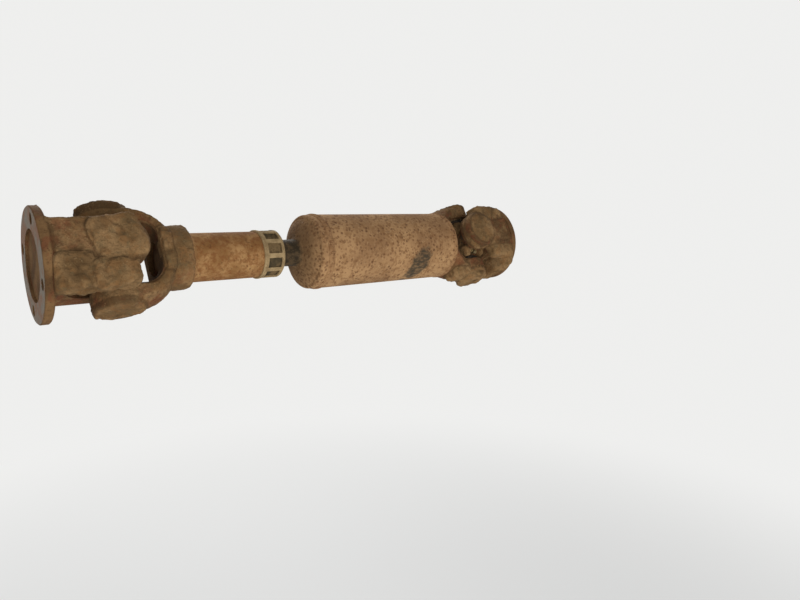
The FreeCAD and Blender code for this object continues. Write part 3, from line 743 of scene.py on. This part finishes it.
def tube_dust(paint):
    """The colour of dust over a pitted, rusty tube, and its bumps."""
    wide = paint.noise(42, 4)
    mottle = paint.noise(7, 4, 0.65, shift=2)
    crowd = paint.noise(30, 3, shift=8).between(0.3, 0.62)
    pits = 1 - paint.specks(3.9, shift=7).between(0.24, 0.48)
    pits *= paint.noise(6, 2, shift=5).between(0.3, 0.5)
    spots = 1 - paint.specks(5.6, shift=3).between(0.16, 0.32)
    spots *= paint.noise(9, 2, shift=14).between(0.34, 0.52)
    flecks = paint.noise(3.1, 3, 0.6, shift=12).between(0.58, 0.68)
    colour = paint.blend(wide.between(0.34, 0.66), DULL_TUBE, TUBE_DUST)
    colour = paint.blend(mottle.between(0.47, 0.66) * 0.6, colour, TUBE_MOTTLE)
    colour = paint.blend(pits * (0.35 + crowd * 0.35), colour, TUBE_PIT)
    colour = paint.blend(spots * 0.68, colour, TUBE_SPOT)
    colour = paint.blend(flecks * 0.45, colour, TUBE_FLECK)
    return colour, mottle * 0.4 - pits * 0.4 - spots * 0.6 + flecks * 0.4 + paint.noise(1.1, 3) * 0.25


def dusty_tube():
    """The tube, with one patch rubbed down to grey paint low on its near side."""
    paint = Paint("dusty_tube")
    colour, bump = tube_dust(paint)
    height = paint.coordinate("Z") - RUB_Z
    ragged = paint.noise(8, 4, 0.7, shift=7) * 30 - 15
    slant = paint.coordinate("X") - RUB_X - height * 0.3 + ragged * 0.6
    reach = slant ** 2 * (1 / RUB_HALF_WIDE ** 2) + (height + ragged * 0.8) ** 2 * (1 / RUB_HALF_HIGH ** 2)
    patch = (1 - reach.between(0.45, 1.0)) * (1 - paint.coordinate("Y").between(-8, 0))
    streaks = paint.noise(3, 3, stretch=(0.5, 1.1, 1.1)).between(0.34, 0.6)
    colour = paint.blend(patch * (0.55 + streaks * 0.4), colour, GREY_PAINT)
    return paint.finish(colour, 0.92 - patch * 0.2, bump * (1 - patch * 0.5), 0.45)


def dusty_weld():
    """The same dust on a weld bead, a little darker, with pores."""
    paint = Paint("dusty_weld")
    colour, bump = tube_dust(paint)
    colour = paint.blend(0.25, colour, RUST)
    colour = paint.blend((1 - paint.specks(2.0).between(0.08, 0.36)) * 0.5, colour, WELD_PORE)
    return paint.finish(colour, 0.92, bump, 0.5)


def greasy_stub():
    """The stub: black grease on its splines and neck, and the tube's dust on its head."""
    paint = Paint("greasy_stub")
    dust, dust_bump = tube_dust(paint)
    neck_end = NECK_END / MM
    along = paint.coordinate("X") + paint.noise(11, 4, 0.6) * 10 - 5
    head = along.between(neck_end - 4, neck_end + 1)
    brown = 1 - along.between(neck_end + 1, neck_end + 16)
    dust = paint.blend(brown * 0.6, dust, BROWN_NECK)
    grease = paint.blend(paint.noise(7, 4, 0.6, shift=1).between(0.42, 0.66), BLACK_GREASE, THIN_GREASE)
    grit = (1 - paint.specks(1.7, shift=2).between(0.1, 0.4)) * 0.5
    grease = paint.blend(grit, grease, GREASE_GRIT)
    bump = (paint.noise(3, 4, 0.6) * 0.6 + grit * 0.4) * (1 - head) + dust_bump * head
    return paint.finish(paint.blend(head, grease, dust), 0.68 + head * 0.24, bump, 0.5, gloss=0.14)


def dusty_cap():
    """The dust cap: pale dust on its ribs, and dark dirt and painted shade in its pockets, some of them
    packed with dust.
    """
    paint = Paint("dusty_cap")
    rim = CAP_RADIUS / MM
    radius = (paint.coordinate("Y") ** 2 + paint.coordinate("Z") ** 2) ** 0.5
    # The pockets, below the ribs' radius, are darkened with dirt and painted shade.
    pocket = 1 - (radius + paint.noise(2.5, 3) * 0.8 - 0.4).between(rim - 2.0, rim - 0.5)
    rib = paint.blend(paint.noise(9, 4, 0.6).between(0.36, 0.64), DULL_RIB, PALE_RIB)
    rib = paint.blend(paint.noise(1.8, 4, 0.7).between(0.5, 0.7) * 0.55, rib, RIB_GRIME)
    packed = paint.noise(18, 2, shift=11).between(0.42, 0.56)
    dirt_and_shade = paint.blend(packed, POCKET_DIRT_AND_SHADE, POCKET_DUST)
    dirt_and_shade = paint.blend(paint.noise(1.5, 3, 0.7).between(0.48, 0.66) * 0.6, dirt_and_shade, POCKET_SHADE)
    bump = paint.noise(1.6, 4, 0.65) * (0.5 + pocket * 0.8)
    return paint.finish(paint.blend(pocket, rib, dirt_and_shade), 0.92, bump, 0.5)


def worn(name, dark, light, grain, roughness, metallic=0.0):
    """A worn finish between two colours, with grime in its lows."""
    paint = Paint(name)
    colour = paint.blend(paint.noise(grain, 4, 0.6).between(0.36, 0.64), dark, light)
    colour = paint.blend(paint.noise(grain / 5, 4, 0.7).between(0.5, 0.7) * 0.5, colour, dark)
    return paint.finish(colour, roughness, paint.noise(grain / 6, 4, 0.6), 0.3, metallic, gloss=0.3)


DRIED_MUD = dried_mud()
DUSTY_WELD = dusty_weld()
RUSTY_FORGING = rusty_forging()
finishes = {
    "gearbox_flange_yoke": RUSTY_FORGING,
    "axle_flange_yoke": RUSTY_FORGING,
    "tube_yoke": RUSTY_FORGING,
    "throat_plug": RUSTY_FORGING,
    "slip_yoke": dusty_sleeve(),
    "tube": dusty_tube(),
    "splined_stub": greasy_stub(),
    "dust_cap": dusty_cap(),
    "wiper_seal": worn("dirty_rubber", tone(30, 28, 26), tone(58, 50, 42), 8, 0.8),
}
finishes_by_ending = {
    "_cross": worn("greasy_cross", tone(46, 38, 29), tone(100, 79, 56), 12, 0.7),
    "_seals": worn("seal_rubber", tone(34, 31, 28), tone(72, 61, 48), 9, 0.8),
    "_nipple": worn("dirty_nipple", tone(96, 82, 56), tone(142, 120, 80), 4, 0.55, metallic=0.5),
    ("_cup_up", "_cup_down"): worn("dull_cup", tone(92, 72, 50), tone(138, 112, 79), 9, 0.75),
    ("_clip_up", "_clip_down"): worn("rusty_clip", tone(60, 46, 33), tone(104, 78, 53), 6, 0.7),
}
for ending, material in finishes_by_ending.items():
    finishes.update({node: material for node in NODES if node.endswith(ending)})
for node, material in finishes.items():
    set_finish(NODES[node].data, material)

# Mud on the four forks and on the axle end's cross. Clods are in millimetres about the joint:
# centre, half sizes, bluntness and turn in degrees. Pads: radius, low and high.
mud_skin(
    "gearbox_flange_mud", "gearbox_flange_yoke", "gearbox_flange", GEARBOX_JOINT, 1,
    [
        clod(GEARBOX_JOINT, (-36.5, 37, -24.5), (15, 9.5, 14), 0.3),
        clod(GEARBOX_JOINT, (-1.5, 43.5, 2), (19.5, 6, 19), 0.35, 14),
        clod(GEARBOX_JOINT, (-8, 41, -28), (17.5, 8.5, 11.5), 0.35, 6),
    ],
    bare_face=GEARBOX_FACE)
mud_skin(
    "slip_yoke_mud", "slip_yoke", "slip_yoke", GEARBOX_JOINT, 2,
    [
        clod(GEARBOX_JOINT, (41, 21.5, 0), (5.5, 8, 19), 0.5),
        pad(GEARBOX_JOINT, SLIP_LUGS, 19.5, 40, 48),
        pad(GEARBOX_JOINT, -SLIP_LUGS, 19, 40, 47),
    ],
    high_x=HUB_END - 3 * MM, film=0.6, lumpy=1.8)
mud_skin(
    "tube_yoke_mud", "tube_yoke", "tube_shaft", AXLE_JOINT, 4,
    [
        pad(AXLE_JOINT, SLIP_LUGS, 18, 40, 47),
        pad(AXLE_JOINT, -SLIP_LUGS, 20, 40, 54),
        clod(AXLE_JOINT, (-25, 4, -41), (14, 15, 8), 0.6),
    ],
    low_x=TUBE_HIGH.x + 4 * MM, lumpy=1.4)
mud_skin(
    "axle_cross_mud", "axle_cross", "axle_cross", AXLE_JOINT, 6,
    [
        clod(AXLE_JOINT, (0, 12, -12), (15.5, 7.5, 7.5), 0.6),
        clod(AXLE_JOINT, (-13, 16, -18), (4, 8, 7), 0.7, 12),
        clod(AXLE_JOINT, (14, 15, -17), (4, 8, 8), 0.7, -10),
        clod(AXLE_JOINT, (-2, 14, 14), (14, 7, 8), 0.7),
    ])
mud_skin(
    "axle_flange_mud", "axle_flange_yoke", "axle_flange", AXLE_JOINT, 3,
    [
        clod(AXLE_JOINT, (24, 35, 23), (26, 9.5, 10), 0.5),
        clod(AXLE_JOINT, (33, 34, -24), (20, 8.5, 12), 0.5),
        clod(AXLE_JOINT, (-2, 36, -2), (18, 6, 19), 0.7),
        clod(AXLE_JOINT, (46, 6, -35), (8, 29, 12), 0.5),
        pad(AXLE_JOINT, FLANGE_LUGS, 17.5, 40, 49.2),
    ],
    bare_face=AXLE_FACE)

# Dust packed on the flange yokes' far cups, and the welds' ripples.
cup_dust("gearbox_flange_dust", "gearbox_flange", GEARBOX_JOINT, -FLANGE_LUGS)
cup_dust("axle_flange_dust", "axle_flange", AXLE_JOINT, -FLANGE_LUGS)
weld_ripple("stub_weld_bead", "stub_weld", "tube_shaft", 2)
weld_ripple("yoke_weld_bead", "yoke_weld", "tube_shaft", 5)

# The photograph's view, in the shaft's frame: the eye in metres, its level heading, then tipped down.
EYE = Vector((-0.0843, -0.561, 0.0445))
HEADING = Vector((0.644, 0.765, 0.0)).normalized()
PITCH_DOWN = math.radians(8.5)
FOCAL_PX = 601.0
PHOTO_WIDE = 800
SENSOR_MM = 36.0

# The studio. The floor fades into the backdrop between two distances from the shaft's middle, in
# millimetres. Each lamp has a place in metres, along X from the shaft's middle, a width and watts.
FLOOR_DROP = 0.7
FLOOR_REACH = 30
FLOOR_MIDDLE_X = 275
FADE_START = 350
FADE_END = 1500
FLOOR_COLOUR = (0.78, 0.78, 0.77, 1)
BACKDROP = (0.86, 0.86, 0.85, 1)
SKY_LIGHT = (0.81, 0.82, 0.83, 1)
SKY_STRENGTH = 0.5
LAMPS = {
    "key": ((-0.1, -1.1, -0.3), 0.7, 7.5),
    "fill": ((-0.9, -0.8, 0.1), 0.7, 3),
    "back": ((0.3, 1.1, 0.9), 1.0, 18),
}


def place_camera():
    """The camera looks along the heading tipped down by the pitch, with no roll."""
    up = Vector((0, 0, 1))
    side = HEADING.cross(up).normalized()
    forward = (HEADING * math.cos(PITCH_DOWN) - up * math.sin(PITCH_DOWN)).normalized()
    data = bpy.data.cameras.new("camera")
    data.sensor_width = SENSOR_MM
    data.lens = FOCAL_PX / PHOTO_WIDE * SENSOR_MM
    camera = bpy.data.objects.new("camera", data)
    turn = Matrix((side, side.cross(forward), -forward)).transposed().to_4x4()
    camera.matrix_world = Matrix.Translation(EYE) @ turn
    bpy.context.scene.collection.objects.link(camera)
    bpy.context.scene.camera = camera


def area_light(name, place, wide, watts):
    """A soft square lamp that faces the shaft's middle."""
    data = bpy.data.lights.new(name, "AREA")
    data.size = wide
    data.energy = watts
    lamp = bpy.data.objects.new(name, data)
    x, y, z = place
    lamp.location = (SHAFT_MIDDLE + x, y, z)
    aim = Vector((SHAFT_MIDDLE, 0, 0)) - lamp.location
    lamp.rotation_euler = aim.to_track_quat("-Z", "Y").to_euler()
    bpy.context.scene.collection.objects.link(lamp)


def pale_floor():
    """A plain pale floor that fades into the backdrop."""
    sides = ((-1, -1), (1, -1), (1, 1), (-1, 1))
    corners = [(x * FLOOR_REACH, y * FLOOR_REACH, -FLOOR_DROP) for x, y in sides]
    mesh = bpy.data.meshes.new("floor")
    mesh.from_pydata(corners, [], [(0, 1, 2, 3)])
    floor = bpy.data.objects.new("floor", mesh)
    bpy.context.scene.collection.objects.link(floor)
    paint = Paint("pale_floor")
    set_finish(mesh, paint.finish(FLOOR_COLOUR, 0.95))
    far = ((paint.coordinate("X") - FLOOR_MIDDLE_X) ** 2 + paint.coordinate("Y") ** 2) ** 0.5
    fade = far.between(FADE_START, FADE_END) * paint.seen()
    glow = paint.node("Emission", None, {"Color": BACKDROP, "Strength": 1.0})
    mix = paint.node("MixShader", None, {0: fade, 1: paint.shader.outputs[0], 2: glow.outputs[0]})
    paint.feed(paint.tree.nodes["Material Output"].inputs["Surface"], mix.outputs[0])


def pale_world():
    """A plain backdrop where the camera sees it, and a dimmer sky that lights the object."""
    world = bpy.data.worlds.new("studio")
    bpy.context.scene.world = world
    world.use_nodes = True
    sky = Nodes(world.node_tree)
    light = sky.tree.nodes["Background"]
    sky.feed(light.inputs["Color"], SKY_LIGHT)
    sky.feed(light.inputs["Strength"], SKY_STRENGTH)
    shown = sky.node("Background", None, {"Color": BACKDROP})
    mix = sky.node("MixShader", None, {0: sky.seen(), 1: light.outputs[0], 2: shown.outputs[0]})
    sky.feed(sky.tree.nodes["World Output"].inputs["Surface"], mix.outputs[0])


place_camera()
pale_floor()
pale_world()
for name, (place, wide, watts) in LAMPS.items():
    area_light(name, place, wide, watts)
bpy.context.scene.view_settings.view_transform = "Standard"
